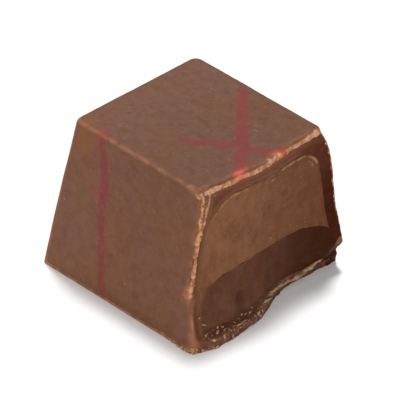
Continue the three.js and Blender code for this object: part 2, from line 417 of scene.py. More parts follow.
red_on_top = [  # x, y and half the width along each line that the red left
    [(-1.3, 6.1, 0.35), (-0.4, 5.15, 0.45), (1.22, 3.47, 0.5), (3.51, 1.1, 0.55), (5.77, -1.23, 0.52),
     (7.5, -3.1, 0.48)],
    [(0.25, -2.95, 0.12), (0.8, -2.6, 0.4), (1.6, -2.0, 0.42), (2.49, -1.32, 0.44), (4.08, -0.32, 0.38),
     (6.2, 0.95, 0.36), (7.25, 1.72, 0.36), (7.8, 2.1, 0.34)],
    [(-5.45, -6.95, 0.16), (-4.95, -6.7, 0.26), (-4.45, -6.75, 0.24)],
]
red_on_side = [  # x, z and half the width along the one line on the front side
    (-5.0, 14.4, 0.15), (-4.5, 14.2, 0.34), (-4.35, 13.5, 0.3), (-4.0, 12.4, 0.34), (-3.75, 11.4, 0.4),
    (-3.52, 10.3, 0.46), (-3.5, 9.4, 0.46), (-3.56, 8.1, 0.34), (-3.34, 6.3, 0.36), (-2.94, 4.3, 0.37),
    (-2.56, 2.2, 0.36), (-2.1, 0, 0.36),
]
no_red = -9.0


def depth_in_line(u, v, line):
    """How far inside a line of changing width a point lies, or below 0 outside it."""
    deepest = np.full(len(u), no_red)
    for (u0, v0, w0), (u1, v1, w1) in zip(line, line[1:]):
        along = ((u - u0) * (u1 - u0) + (v - v0) * (v1 - v0)) / ((u1 - u0) ** 2 + (v1 - v0) ** 2)
        along = np.clip(along, 0, 1)
        distance = np.hypot(u - u0 - along * (u1 - u0), v - v0 - along * (v1 - v0))
        deepest = np.maximum(deepest, w0 + along * (w1 - w0) - distance)
    return deepest


def mark(piece, **layers):
    """Keeps a value for each point of a mesh under each name, which its material reads."""
    for name, values in layers.items():
        layer = piece.data.attributes.new(name, "FLOAT", "POINT")
        layer.data.foreach_set("value", np.asarray(values, np.float32))


def from_edge(p, q, radius):
    """How far a point of the skin is from the edge between two faces, given its depth under each."""
    return np.abs(p - q) + 2 * np.maximum(0, np.minimum(p, q) - 0.3 * radius)


at = places_of(shell)
x, y, z = at.T
under_front, under_far = y + side_at(z), side_at(z) - y
under_side, under_end, under_top = np.minimum(under_front, under_far), x - end_at(z), height - z
from_cut = cut_at(y, z) - x
depth = np.minimum(np.minimum(under_side, under_top), under_end)
near_front_foot = smooth(5.2, 4.2, z) * smooth(-7, -8, y)
on_cut = smooth(0.35, 0.1, from_cut) * smooth(0.02, 0.16 + 0.4 * near_front_foot, depth)
mark(shell, cut=on_cut)

# The ragged rim, its pale places, and the red that was cut with it.
ridge = rim_ridge(y, z)
strands = ridge / 0.24 - 0.45 * smooth(0.04, 0, ridge - rim_web(y, z))
mark(shell, rim=strands * smooth(0.4, 0.1, from_cut))
mark(shell, knot=hump(z, 10.3, 0.5) * smooth(0.9, 0.7, under_front) * smooth(0.4, 0.1, from_cut))
inside_strand = smooth(0, 0.3, second_strand(z) - under_front) * smooth(10.2, 11, z)
torn_strip = np.clip(inside_strand + smooth(0.75, 0.55, under_top), 0, 1)
mark(shell, torn=torn_strip * smooth(0.5, 0.2, from_cut))
chalk_places = sum(hump(y, middle, 0.45) for middle in (-6.3, -5.4, -2.6, 2.4, 5.8))
near_top = (0.3 + 0.7 * smooth(0.9, 0.4, under_top)) * smooth(12, 13, z)
mark(shell, chalky=near_top * np.clip(0.2 + chalk_places, 0, 1))
mark(shell, salmon_rim=hump(y, -2.75, 0.45) * smooth(0.85, 0.6, under_top) * smooth(0.45, 0.2, from_cut))
mark(shell, red_rim=hump(y, 2.3, 0.5) * hump(under_top, 0.36, 0.38) * smooth(0.5, 0.25, from_cut))

# Below the rim's strands the front edge was dragged smooth, and a spur stands out of the far wall.
band_middle = 0.2 + 0.3 * hump(z, 4.2, 0.9)
band_reach = 0.18 + 0.25 * hump(z, 0.8, 0.9) + 0.15 * hump(z, 4.3, 0.7)
dragged = 0.6 * hump(under_front, band_middle, band_reach) * smooth(5.3, 4.6, z)
dragged = dragged + 0.5 * hump(y, -8.5, 0.15) * hump(z, 2.4, 0.35)
mark(shell, dragged=dragged * smooth(0.6, 0.3, from_cut))
ochre_knot = 0.9 * hump(under_front, 0.15, 0.3) * hump(z, 4.9, 0.55)
# Painted highlight: a thin pale line low on the front edge, standing in for the light that edge catches.
painted_edge_highlight = hump(under_front, 0.22, 0.1) * hump(z, 2.3, 0.5)
mark(shell, ochre=(ochre_knot + painted_edge_highlight) * smooth(0.7, 0.3, from_cut))
from_spur = np.hypot((under_far - 0.2) / 0.75, (z - 2.95) / 0.36) + 0.4 * rough(at, 0.35, 2, 63)
mark(shell, spur=smooth(1.05, 0.85, from_spur) * smooth(0.5, 0.3, from_cut))

# The wall inside the rim, with the fillings that the knife smeared over it, and painted shade that darkens
# the cut towards the far wall.
above_limit = z - smear_limit(y)
on_front_wall = smooth(2.2, 1.6, under_front)
smeared = smooth(0.6, 1.2, under_front) * smooth(-0.2, 0.5, above_limit) * on_front_wall
smeared_up = smooth(-0.6, -0.25, from_wall(y, z)) * smooth(9, 11, z) * smooth(5.4, 3.4, y)
mark(shell, smeared=np.maximum(smeared, 0.8 * smeared_up))
creamy = smooth(0.3, 0.95, under_front) * smooth(0.5, -0.2, above_limit) * on_front_wall
mark(shell, creamy=creamy * smooth(5, 4.4, z))
# Painted shade: the cut is painted darker and redder towards the far wall and down it.
shaded = smooth(3.0, 7.6, y) * (0.5 + 0.5 * smooth(13.2, 8, z)) * smooth(0.4, 0.7, under_top)
mark(shell, shaded=shaded * on_cut)
mark(shell, below_rim=smooth(1.5, 0.8, under_top))

# The moulded skin: painted light on its top face, a paler tone towards the moulded end, its faint stains,
# and its one worn corner.
mark(shell, top_face=smooth(0.5, 0.2, under_top))
mark(shell, toward_end=smooth(2, -7, x))
from_corner = np.hypot(np.hypot((x + 6.6) / 1.5, (y + 7.2) / 1.6), (z - 13.3) / 1.3)
mark(shell, worn_corner=smooth(1.5, 0.5, from_corner + 0.35 * rough(at, 0.9, 2, 61)))
mark(shell, stain=hump(x, -5.75, 0.55) * hump(z, 8.0, 0.9) * smooth(0.5, 0.2, under_front))
blush = hump(x, -4.6, 0.5) * hump(z, 8.9, 0.7) + 0.7 * hump(x, -3.6, 0.8) * hump(z, 9.6, 0.9)
mark(shell, blush=np.clip(blush, 0, 1) * smooth(0.4, 0.2, under_front))

# How far each point is from each kind of edge, which handling scuffs.
upright = from_edge(under_side, under_end, corner_radius_at_top)
upper = np.minimum(from_edge(under_side, under_top, 0.4), from_edge(under_end, under_top, 0.4))
lower = np.minimum(from_edge(under_side, z, 0), from_edge(under_end, z, 0))
lower = np.where((under_front < 1) & (from_cut < 0.7), np.minimum(lower, z), lower)
mark(shell, near_cut=smooth(0.7, 0.1, from_cut) * (1 - on_cut) * smooth(4.8, 6, z))
mark(shell, upper_edge=upper)
mark(shell, upright_edge=upright + 0.4 * smooth(-2, 3, y))
mark(shell, front_edge=from_edge(under_front, under_top, 0.4) - 0.3 * smooth(2.5, 0.2, from_cut))
mark(shell, lower_edge=lower - 0.16 * smooth(4, 0, from_cut) * smooth(0, -1, y) + 0.1 * smooth(0, 4, y))

# How deep in a red line each point is, and where the red is fresh because it was cut or rubbed.
red = np.where(under_top < 0.3, np.max([depth_in_line(x, y, line) for line in red_on_top], 0), no_red)
red = np.maximum(red, np.where(under_front < 0.3, depth_in_line(x, z, red_on_side), no_red))
mark(shell, red=np.clip(red, -1, 1))
fresh = np.maximum(smooth(0.9, 0.2, from_cut), 0.4 * hump(x, -4.9, 0.5) * smooth(0.9, 0.3, under_top))
mark(shell, fresh_red=fresh * smooth(-8, 8, z - 4))


def feed(socket, value):
    """A socket takes another one's output, the mark of a name, or a number or colour of its own."""
    if isinstance(value, str):
        value = add(socket.id_data, "Attribute", attribute_name=value).outputs["Fac"]
    if isinstance(value, bpy.types.NodeSocket):
        socket.id_data.links.new(value, socket)
    else:
        socket.default_value = value


def add(tree, kind, **given):
    """A node with its settings, in small letters, and its sockets, which start with a capital."""
    made = tree.nodes.new("ShaderNode" + kind)
    for name, value in given.items():
        if name[0].isupper():
            feed(made.inputs[name.replace("_", " ")], value)
        else:
            setattr(made, name, value)
    return made


def grain(tree, size, detail=2.0, stretch=(1, 1, 1)):
    """Noise from 0 to 1 whose grains are size millimetres across, stretched along an axis or not."""
    place = add(tree, "TexCoord").outputs["Object"]
    shrink = [1 / (size * MM * share) for share in stretch]
    scaled = add(tree, "Mapping", Vector=place, Scale=shrink).outputs["Vector"]
    return add(tree, "TexNoise", Vector=scaled, Scale=1.0, Detail=detail).outputs["Fac"]


def ramp(tree, value, start, end, low=0.0, high=1.0):
    given = {"From_Min": start, "From_Max": end, "To_Min": low, "To_Max": high}
    return add(tree, "MapRange", Value=value, interpolation_type="SMOOTHSTEP", **given).outputs["Result"]


def sums(tree, operation, a, b):
    made = add(tree, "Math", operation=operation)
    feed(made.inputs[0], a)
    feed(made.inputs[1], b)
    return made.outputs["Value"]


def plus(tree, a, b):
    return sums(tree, "ADD", a, b)


def times(tree, a, b):
    return sums(tree, "MULTIPLY", a, b)


def swing(tree, noise, reach):
    """Noise from 0 to 1 made to swing about 0."""
    return times(tree, sums(tree, "SUBTRACT", noise, 0.5), reach)


def over(tree, share, under, upper, blend="MIX"):
    """One colour painted over another by a share."""
    mix = add(tree, "Mix", data_type="RGBA", blend_type=blend)
    for socket, value in ((0, share), (6, under), (7, upper)):
        feed(mix.inputs[socket], value)
    return mix.outputs[2]


def dabbed(tree, colour, name, share, dab):
    """A share of another colour on the places that carry a mark."""
    return over(tree, times(tree, name, share), colour, dab)


def flecked(tree, colour, fleck, size, start, end, most=1.0, detail=3.0, stretch=(1, 1, 1)):
    """Flecks of another colour, size millimetres across, which thicken between two levels of noise."""
    return over(tree, ramp(tree, grain(tree, size, detail, stretch), start, end, 0, most), colour, fleck)


def graded(tree, colour, share, near, far):
    """Multiplies a colour by factors for red, green and blue, which run from near to far by a share."""
    return over(tree, 1.0, colour, over(tree, share, (*near, 1), (*far, 1)), "MULTIPLY")


def paint(red, green, blue):
    """The paint that looks like this colour, given as 0 to 255, under the studio light."""
    studio_light, gloss = 1.22, 0.0042
    linear = [((value / 255 + 0.055) / 1.055) ** 2.4 for value in (red, green, blue)]
    return (*[max(0.001, (value - gloss) / studio_light) for value in linear], 1)


def finish(piece, name, roughness, patch=0.35, specular=0.03):
    """A new material on a piece, with one roughness or two in patches. Returns its tree and its shader."""
    material = bpy.data.materials.new(name)
    material.use_nodes = True
    piece.data.materials.append(material)
    tree = material.node_tree
    shader = tree.nodes["Principled BSDF"]
    shader.inputs["Specular IOR Level"].default_value = specular
    if isinstance(roughness, tuple):
        roughness = ramp(tree, grain(tree, patch, 3.0), 0.3, 0.7, *roughness)
    feed(shader.inputs["Roughness"], roughness)
    return tree, shader


def bumps(tree, height_socket, depth, strength=1.0):
    made = add(tree, "Bump", Height=height_socket, Distance=depth * MM, Strength=strength)
    return made.outputs["Normal"]


def shade_smoothly(piece, crease=32):
    piece.data.shade_smooth()
    piece.data.set_sharp_from_angle(angle=math.radians(crease))


def moulded_skin(tree, speckle, patchy):
    """Milk chocolate as the mould left it: mottled, with the red lines, and scuffed pale along its edges."""
    skin = flecked(tree, paint(124, 85, 64), paint(121, 85, 73), 6.0, 0.35, 0.65)
    skin = flecked(tree, skin, paint(130, 93, 75), 0.9, 0.3, 0.7, 0.6, detail=4.0)
    skin = flecked(tree, skin, paint(108, 72, 57), 0.5, 0.4, 0.85, 0.6)
    skin = over(tree, ramp(tree, speckle, 0.6, 0.8, 0, 0.6), skin, paint(150, 110, 88))
    skin = flecked(tree, skin, paint(132, 94, 72), 1.0, 0.42, 0.75, 0.5, detail=2.0)
    skin = flecked(tree, skin, paint(108, 72, 56), 0.8, 0.55, 0.25, 0.4, detail=2.0)
    skin = graded(tree, skin, "toward_end", (1.04, 1.02, 0.97), (1.14, 1.14, 1.15))
    # Painted light: the top face is painted greyer and cooler than the sides, for the light that falls on it
    # from above.
    skin = graded(tree, skin, "top_face", (1, 1, 1), (0.86, 0.93, 1.02))
    skin = dabbed(tree, skin, "stain", 0.45, paint(118, 98, 62))
    skin = dabbed(tree, skin, "blush", 0.5, paint(146, 84, 76))
    worn = ramp(tree, grain(tree, 0.9), 0.3, 0.6, 0.15, 0.6)
    skin = dabbed(tree, skin, "worn_corner", worn, paint(146, 92, 60))
    depth_of_red = plus(tree, "red", swing(tree, grain(tree, 0.5, 3.0), 0.4))
    thin_places = ramp(tree, grain(tree, 0.5, 3.0), 0.25, 0.65, 0.65, 1.1)
    red_share = times(tree, ramp(tree, depth_of_red, -0.25, 0.2, 0, 0.62), thin_places)
    red_paint = over(tree, "fresh_red", paint(142, 62, 66), paint(206, 84, 72))
    skin = over(tree, red_share, skin, red_paint)
    edges = [  # the mark, where its scuffing starts and is full, its share and its colour
        ("near_cut", 0.0, 1.0, 0.4, (158, 108, 84)),
        ("upper_edge", 0.22, 0.0, 0.5, (158, 108, 84)),
        ("upright_edge", 0.55, 0.2, 0.9, (172, 114, 78)),
        ("front_edge", 0.42, 0.0, 0.75, (160, 110, 86)),
        # The foot's scuff is real wear, painted paler still to stand in for the light from the table that
        # catches that edge.
        ("lower_edge", 0.34, 0.1, 0.9, (184, 130, 94)),
    ]
    wobble = swing(tree, grain(tree, 0.4, 3.0), 0.3)
    for edge, start, end, share, scuff in edges:
        scuffed = ramp(tree, plus(tree, edge, wobble), start, end, 0, share)
        skin = over(tree, times(tree, scuffed, patchy), skin, paint(*scuff))
    return skin


def broken_wall(tree, speckle):
    """The shell's thickness where the cut shows it: darker, with the fillings smeared over it."""
    broken = over(tree, "below_rim", paint(100, 60, 43), paint(124, 78, 58))
    broken = flecked(tree, broken, paint(118, 76, 55), 0.6, 0.4, 0.75, 0.5)
    # Painted shade towards the far wall.
    broken = graded(tree, broken, "shaded", (1.05, 1.05, 1.05), (0.41, 0.22, 0.11))
    broken = dabbed(tree, broken, "smeared", 0.85, paint(126, 85, 61))
    broken = dabbed(tree, broken, "creamy", 0.85, paint(118, 79, 58))
    torn = over(tree, speckle, paint(118, 76, 56), paint(152, 104, 80))
    return over(tree, "torn", broken, torn)


def dragged_edge(tree, colour, speckle, patchy):
    """The smooth strip below the rim, the spur and the pale rim itself, on the colours under them."""
    smoothed = over(tree, patchy, paint(140, 94, 72), paint(166, 114, 88))
    colour = over(tree, "dragged", colour, smoothed)
    colour = dabbed(tree, colour, "spur", 0.75, paint(146, 98, 68))
    # The ochre is a real orange patch under the knot, plus a painted highlight low on the front edge.
    colour = dabbed(tree, colour, "ochre", ramp(tree, speckle, 0.3, 0.6, 0.5, 1.0), paint(190, 124, 84))
    ragged = plus(tree, "rim", swing(tree, speckle, 0.9))
    pale = flecked(tree, paint(164, 110, 78), paint(214, 160, 116), 0.4, 0.38, 0.65, detail=2.0)
    chalk = ramp(tree, grain(tree, 0.5, 2.0), 0.4, 0.6, 0.2, 0.9)
    pale = dabbed(tree, pale, "chalky", chalk, paint(200, 156, 134))
    colour = over(tree, ramp(tree, ragged, 0.1, 0.75), colour, pale)
    colour = dabbed(tree, colour, "knot", ramp(tree, ragged, 0.4, 1.0, 0, 0.6), paint(218, 162, 108))
    colour = dabbed(tree, colour, "salmon_rim", 0.9, paint(220, 112, 92))
    return dabbed(tree, colour, "red_rim", ramp(tree, speckle, 0.3, 0.5, 0.4, 1.0), paint(192, 46, 40))


tree, shader = finish(shell, "milk_chocolate", (0.5, 0.58), 0.5)
speckle = grain(tree, 0.28, 3.0)
patchy = ramp(tree, grain(tree, 0.9, 4.0), 0.36, 0.62, 0.25, 1.0)
skin = moulded_skin(tree, speckle, patchy)
colour = over(tree, "cut", skin, broken_wall(tree, speckle))
feed(shader.inputs["Base Color"], dragged_edge(tree, colour, speckle, patchy))
feed(shader.inputs["Normal"], bumps(tree, speckle, 0.006, 0.4))
shade_smoothly(shell)
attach(shell, "root")
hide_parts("shell")

# ---------------------------------------------------------------- the gianduja
# Hazelnut and milk chocolate paste, poured in and set to a dense, slightly oily mass with fine bits of nut.
# The knife smeared a thin lip of it over the shell in places.
cream_level = 5.05
cream_tilt = 0.045
cream_drop_at_front = 0.62
cream_drop_at_far = 0.75
cream_drop_reach = 0.9
cream_drop_in_wall = 0.5
lap = 0.04  # how far a filling reaches into its neighbours, so that no gap shows


def cream_top(x, y):
    """The darker cream set a little higher towards the far side, and sinks where it meets the walls."""

    def drop(deepest, distance):
        return deepest * np.exp(-np.maximum(-cream_drop_in_wall, distance) / cream_drop_reach)

    side = side_at(cream_level)
    at_front = drop(cream_drop_at_front, y + side - front_wall)
    at_far = drop(cream_drop_at_far, side - far_wall - y)
    at_end = drop(cream_drop_at_far, x - end_at(cream_level) - end_wall)
    return cream_level + cream_tilt * y - at_front - at_far - at_end


def under(name, level, shift, steps=90):
    """Everything under a level, moved up or down by a shift."""
    along = np.linspace(foot_x - 0.8, foot_x + 20, steps)
    across = np.linspace(-half_width - 0.8, half_width + 0.8, steps)
    x, y = np.meshgrid(along, across)
    top = np.stack([x, y, level(x, y) + shift], -1)
    return sheet_block(name, top, np.stack([x, y, np.full_like(x, -1.6)], -1))


def smeared_lip(y, z):
    """The lip that the knife smeared up along the filling's upper edge, in stretches, and a second fold."""
    inward = from_wall(y, z)
    stretches = np.maximum(hump(y, -3.6, 2.0), np.maximum(hump(y, 3.2, 2.3), 0.8 * hump(y, 5.9, 0.8)))
    broken_up = np.clip(0.65 + 0.9 * rough(on_face(y, z), 0.5, 3, 33), 0, 1)
    fold = 0.6 * hump(inward, 0.6, 0.13) * np.maximum(hump(y, 1.2, 0.7), hump(y, 5.6, 0.5))
    return (hump(inward, 0.12, 0.14) * stretches + fold) * broken_up * smooth(9, 11, z)


def gianduja_relief(y, z):
    at = on_face(y, z)
    drag = 0.025 * rough(at * [1, 1, 0.3], 0.6, 3, 31)  # the knife came down, so its marks run upright
    grainy = 0.012 * rough(at, 0.35, 2, 37)
    pits = 0.06 * smooth(0.5, 0.8, rough(at, 0.55, 2, 39))
    return drag + grainy - pits - 0.04 + 0.16 * smeared_lip(y, z)


gianduja = hollow("gianduja_cut", -lap)
carve(gianduja, cut_away("knife_gianduja", gianduja_relief, 260, 220))
carve(gianduja, under("cream_level", cream_top, 0))
x, y, z = places_of(gianduja).T
mark(gianduja, lip=smeared_lip(y, z))
# Painted shade: the paste is painted darker close to the shell's walls, where they shade it, but not along
# the front wall.
mark(gianduja, rind=from_wall(y, z) + 0.5 * smooth(-4.5, -6.5, y))
# Painted shade: the gianduja is painted lighter near the front and darker towards the far wall, for the
# shade that falls across the cut.
mark(gianduja, toward_far=smooth(-6, 7, y))
tree, shader = finish(gianduja, "gianduja_paste", (0.42, 0.62))
paste = flecked(tree, paint(126, 86, 60), paint(115, 76, 52), 2.4, 0.35, 0.65)
knife_streaks = (1, 0.5, 1.3)
paste = flecked(tree, paste, paint(138, 96, 68), 1.3, 0.42, 0.75, 0.55, stretch=knife_streaks)
paste = flecked(tree, paste, paint(132, 84, 60), 0.7, 0.5, 0.75, 0.5)
paste = flecked(tree, paste, paint(98, 63, 44), 0.6, 0.48, 0.85, 0.5)
paste = flecked(tree, paste, paint(154, 112, 82), 0.3, 0.6, 0.8, 0.4, detail=2.0)
# Painted shade along the walls.
paste = over(tree, ramp(tree, "rind", 0.45, 0.0, 0, 0.4), paste, paint(98, 62, 44))
paste = graded(tree, paste, "toward_far", (1.19, 1.17, 1.19), (0.79, 0.74, 0.69))
paste = over(tree, ramp(tree, "lip", 0.15, 0.6, 0, 0.8), paste, paint(172, 128, 90))
feed(shader.inputs["Base Color"], paste)
feed(shader.inputs["Normal"], bumps(tree, grain(tree, 0.2, 2.0), 0.02, 0.4))
shade_smoothly(gianduja)
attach(gianduja, "root")
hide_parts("gianduja")

# ---------------------------------------------------------------- the darker cream
# A softer nut cream with more cocoa. It was poured in over the gianduja, and lies under it now that the bar
# stands the other way up. The knife left upright flutes in it and pulled one dent out of its foot.
base_thickness = 1.15
base_waviness = 0.06
flute_depth = 0.12
flute_pitch = 2.2
dent_y = -2.8


def base_top(x, y):
    return base_thickness + base_waviness * (np.sin(0.7 * y) + np.sin(0.6 * (x - foot_x) + 1))


def cream_relief(y, z):
    at = on_face(y, z)
    across = y + half_width
    waves = flute_depth * np.cos((across - 4.9) * 2 * np.pi / flute_pitch)
    flutes = waves * hump(across, 6, 4) * hump(z, 3, 2.2)
    dent = 0.3 * hump(y, dent_y, 0.5) * hump(z, 2.2, 0.7)
    return flutes - dent + 0.03 * rough(at * [1, 1, 0.5], 0.6, 3, 41) + 0.015 * rough(at, 0.25, 1, 43) - 0.02


cream = hollow("dark_cream_cut", -lap)
carve(cream, under("cream_level", cream_top, lap), "INTERSECT")
carve(cream, cut_away("knife_cream", cream_relief, 220, 200))
carve(cream, under("base_level", base_top, 0))
x, y, z = places_of(cream).T
# Painted shade: the cream is painted lighter near the front and darker and redder towards the far wall, for
# the shade that falls across the cut.
mark(cream, toward_far=smooth(-3, 7.4, y))
# Painted shade: the dent is painted darker, for the shade in its hollow.
mark(cream, dent=hump(y, dent_y, 0.5) * hump(z, 2.3, 0.8))
# Painted light: the cream is painted lighter and cooler near its foot, against the shade and warm bounce
# just above the base's ledge.
mark(cream, low=smooth(2.8, 1.2, z))
mark(cream, smeared=smooth(-0.2, 0.25, z - smear_limit(y)) * smooth(-4.4, -5.2, y))
tree, shader = finish(cream, "dark_cream_paste", (0.42, 0.6))
paste = flecked(tree, paint(88, 57, 43), paint(80, 50, 36), 1.8, 0.35, 0.65)
paste = flecked(tree, paste, paint(98, 65, 50), 0.6, 0.45, 0.75, 0.35, detail=4.0)
paste = flecked(tree, paste, paint(70, 43, 32), 0.5, 0.5, 0.8, 0.35, stretch=(1, 0.6, 1.3))
paste = flecked(tree, paste, paint(112, 77, 60), 0.25, 0.6, 0.8, 0.4, detail=2.0)
paste = graded(tree, paste, "toward_far", (1.53, 1.56, 1.58), (0.52, 0.36, 0.21))
# Painted light near the cream's foot.
paste = graded(tree, paste, "low", (1, 1, 1), (1.2, 1.28, 1.34))
# The dent's painted shade.
paste = dabbed(tree, paste, "dent", 0.6, paint(62, 38, 29))
paste = dabbed(tree, paste, "smeared", 0.9, paint(126, 85, 61))
feed(shader.inputs["Base Color"], paste)
feed(shader.inputs["Normal"], bumps(tree, grain(tree, 0.18, 2.0), 0.02, 0.6))
shade_smoothly(cream)
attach(cream, "root")
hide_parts("dark_cream")

# ---------------------------------------------------------------- the base
# Chocolate spread over the filled shell to close it, about a millimetre thick. It broke ahead of the knife,
# so its edge is a crumbly ledge with a pale crest.


def base_relief(y, z):
    crest = 0.1 * hump(z, 1.02, 0.25) * smooth(-0.5, 1.5, y)
    undercut = 0.16 * smooth(0.95, 0.3, z) * smooth(-0.5, 1.5, y)
    bitten = 0.2 * hump(y, -3.3, 0.9) * smooth(0.7, 0.2, z)
    return crest - undercut - bitten + 0.09 * rough(on_face(y, z), 0.7, 2, 51)


def floor_level(x, y):
    return 0 * x


base = hollow("base_broken", -lap)
carve(base, under("base_level", base_top, lap), "INTERSECT")
carve(base, cut_away("knife_base", base_relief, 260, 200))
carve(base, under("floor_level", floor_level, 0))
x, y, z = places_of(base).T
# Painted shade: the base is painted lighter near the front and darker towards the far wall, for the shade
# that falls across the cut.
mark(base, toward_far=smooth(-3, 6, y))
# Painted sheen: a pale greyish patch on the middle of the base's cut, for its gloss.
mark(base, scuffed=smooth(-1.4, -0.6, y) * smooth(4.2, 3, y) * smooth(0.25, 0.5, z))
mark(base, shelf=smooth(0.55, 0.95, z) * smooth(-1, -2.5, y))
tree, shader = finish(base, "base_chocolate", 0.5)
crust = flecked(tree, paint(94, 61, 48), paint(115, 77, 60), 0.5, 0.35, 0.65, detail=4.0)
crust = over(tree, "shelf", crust, paint(87, 57, 44))
crust = flecked(tree, crust, paint(150, 112, 90), 0.24, 0.56, 0.68, 0.8)
# The base's painted sheen.
crust = dabbed(tree, crust, "scuffed", 0.5, paint(140, 106, 86))
crust = graded(tree, crust, "toward_far", (1.22, 1.24, 1.26), (0.8, 0.75, 0.71))
feed(shader.inputs["Base Color"], crust)
feed(shader.inputs["Normal"], bumps(tree, grain(tree, 0.2, 3.0), 0.03, 0.8))
shade_smoothly(base)
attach(base, "root")
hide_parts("base")

# ---------------------------------------------------------------- crumbs on the rim
# Crumbs of shell that the knife broke off, left sticking along the cut's edge and round the foot. Chocolate
# is pale where it is freshly broken.
dice = np.random.default_rng(21)


def on_cut_face(y, z, proud):
    return np.column_stack([cut_at(y, np.clip(z, 0, height)) + proud, y, z])


def heap(name, places, sizes, along=0, stretch=(1, 1, 1), knobbly=0.4, seed=0, palest=1.0):
    """Many small lumps as one mesh. Each is a rough ball, stretched along a direction of its own."""
    ball = bmesh.new()
    bmesh.ops.create_icosphere(ball, subdivisions=2, radius=1)
    unit = np.array([v.co[:] for v in ball.verts])
    triangles = np.array([[v.index for v in f.verts] for f in ball.faces])
    ball.free()
    chance = np.random.default_rng(seed)
    count = len(places)
    forward = 0.25 * chance.normal(size=(count, 3)) + along
    forward /= np.linalg.norm(forward, axis=1)[:, None]
    outward = np.array([1.0, 0, 0.3]) + 0.3 * chance.normal(size=(count, 3))
    sideways = np.cross(outward, forward)
    sideways /= np.linalg.norm(sideways, axis=1)[:, None]
    turned = np.stack([forward, sideways, np.cross(forward, sideways)], 1)
    lumps = np.repeat(unit[None], count, axis=0)
    apart = 7.3 * np.arange(count)[:, None, None]  # so that no two lumps take the same noise
    knobs = rough((lumps + apart).reshape(-1, 3), 0.9, 2, seed + 90).reshape(count, -1, 1)
    lumps = lumps * (1 + knobbly * knobs) * stretch
    lumps = np.einsum("nvi,nij->nvj", lumps, turned) * sizes[:, None, None]
    points = (lumps + places[:, None]).reshape(-1, 3)
    points[:, 2] = np.maximum(points[:, 2], 0)
    faces = (triangles[None] + np.arange(count)[:, None, None] * len(unit)).reshape(-1, 3)
    made = solid(name, points, faces.tolist())
    mark(made, tone=np.repeat(chance.random(count) * palest, len(unit)))
    made.data.shade_smooth()
    return made


def strewn(count, y, z, proud, size, y_spread=0.05, z_spread=0.05):
    """Places and sizes of crumbs that stick to the cut near the given ones."""
    y = y + y_spread * dice.normal(size=count)
    z = z + z_spread * dice.normal(size=count)
    sunk = np.minimum(0, shell_relief(y, np.clip(z, 0, height)))
    return on_cut_face(y, z, proud + sunk), size * dice.uniform(0.6, 1.4, count)


def on_front_edge(count, low, high, inward, size, proud=0.16, spread=0.06):
    z = dice.uniform(low, high, count)
    return strewn(count, inward - side_at(z), z, proud, size, spread)


def fresh_break(piece, name, dark, light, stain, most):
    """Broken chocolate that runs from dark to light by each lump's own tone, with small stains."""
    tree, shader = finish(piece, name, 0.6)
    tan = over(tree, ramp(tree, "tone", 0.2, 0.8), paint(*dark), paint(*light))
    tan = flecked(tree, tan, paint(*stain), 0.25, 0.45, 0.7, most, detail=2.0)
    feed(shader.inputs["Base Color"], tan)
    feed(shader.inputs["Normal"], bumps(tree, grain(tree, 0.12, 2.0), 0.02, 0.5))


def along_foot(count):
    """Places and sizes of crumbs on the table along the front side, larger ones near the cut."""
    x = foot_x + 17.5 - dice.gamma(1.2, 1.3, count)
    y = np.full(count, -half_width + 0.03)
    z = np.abs(0.1 * dice.normal(size=count))
    larger = 1 + 0.9 * (x > foot_x + 16.2)
    return np.column_stack([x, y, z]), dice.uniform(0.04, 0.1, count) * larger


crumb_groups = [
    on_front_edge(16, 5.0, 13.4, inward=0.43, size=0.09, proud=0.12),
    on_front_edge(5, 9.8, 10.5, inward=0.45, size=0.13, proud=0.2, spread=0.1),
    on_front_edge(6, 10.8, 13.4, inward=0.7, size=0.08, proud=0.08, spread=0.2),
    strewn(12, dice.uniform(-6.7, 6.9, 12), height - 0.35, 0.1, 0.11, 0, 0.1),
    strewn(4, -5.2, 13.3, -0.04, 0.09, 0.12, 0.06),
    strewn(4, -5.8, 13.1, -0.04, 0.09, 0.1, 0.08),
    strewn(40, -half_width + dice.gamma(1.6, 0.8, 40), 0.12, 0.02, 0.09, 0, 0.06),
    strewn(26, -half_width + 0.25, 0.16, 0.04, 0.12, 0.16, 0.1),
]
for z_middle in (13.0, 12.1, 10.4, 8.8, 7.4, 6.1):
    crumb_groups.append(strewn(2, side_at(z_middle) - 0.14, z_middle, -0.03, 0.08, 0.02, 0.12))
crumb_groups.append(strewn(6, side_at(2.9) - 0.3, 2.9, -0.1, 0.09, 0.12, 0.1))
crumb_groups.append(along_foot(60))
crumb_places = np.concatenate([places for places, sizes in crumb_groups])
crumb_sizes = np.concatenate([sizes for places, sizes in crumb_groups])
crumbs = heap("rim_crumbs", crumb_places, crumb_sizes, stretch=(1.2, 0.9, 0.8), knobbly=0.6, seed=3)
fresh_break(crumbs, "broken_milk_chocolate", (150, 100, 72), (206, 156, 116), (130, 84, 60), 0.35)
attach(crumbs, "root")

# ---------------------------------------------------------------- flakes along the base
# Pale slivers of base along its crest, and loose flakes on its ledge, where it snapped ahead of the knife.
# Both are thin and freshly broken.


